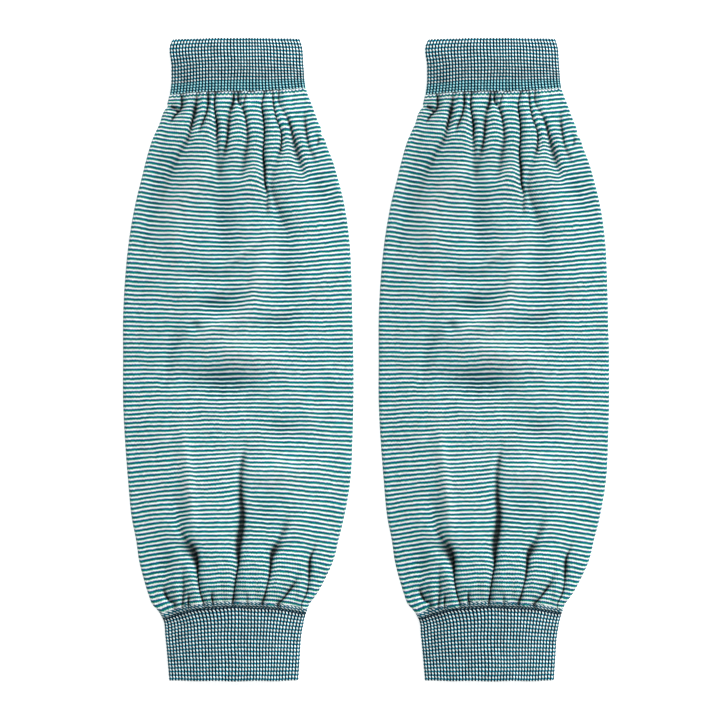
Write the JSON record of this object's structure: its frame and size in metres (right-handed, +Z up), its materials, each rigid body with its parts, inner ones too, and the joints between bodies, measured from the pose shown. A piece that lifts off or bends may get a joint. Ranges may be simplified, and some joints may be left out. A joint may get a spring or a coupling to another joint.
{
  "type": "pair of knitted leg sleeves",
  "caption": "Pair of knitted leg sleeves laid flat side by side: open tubes with a wide body gathered between rib cuffs.",
  "frame": {"origin": "bottom centre of the pair's box, on the surface that it lies on, midway between the sleeves", "axes": "+X across the pair to the right sleeve, +Y up the sleeves to the short cuffs, +Z up from the surface"},
  "size_m": [0.2526, 0.3338, 0.0125],
  "materials": {
    "top_rib": "matte two-colour rib knit",
    "striped_knit": "matte striped fine knit",
    "bottom_rib": "matte two-colour rib knit"
  },
  "bodies": {
    "root": {"left_top_cuff": "top_rib", "left_body": "striped_knit", "left_bottom_cuff": "bottom_rib", "right_top_cuff": "top_rib", "right_body": "striped_knit", "right_bottom_cuff": "bottom_rib"}
  },
  "joints": []
}
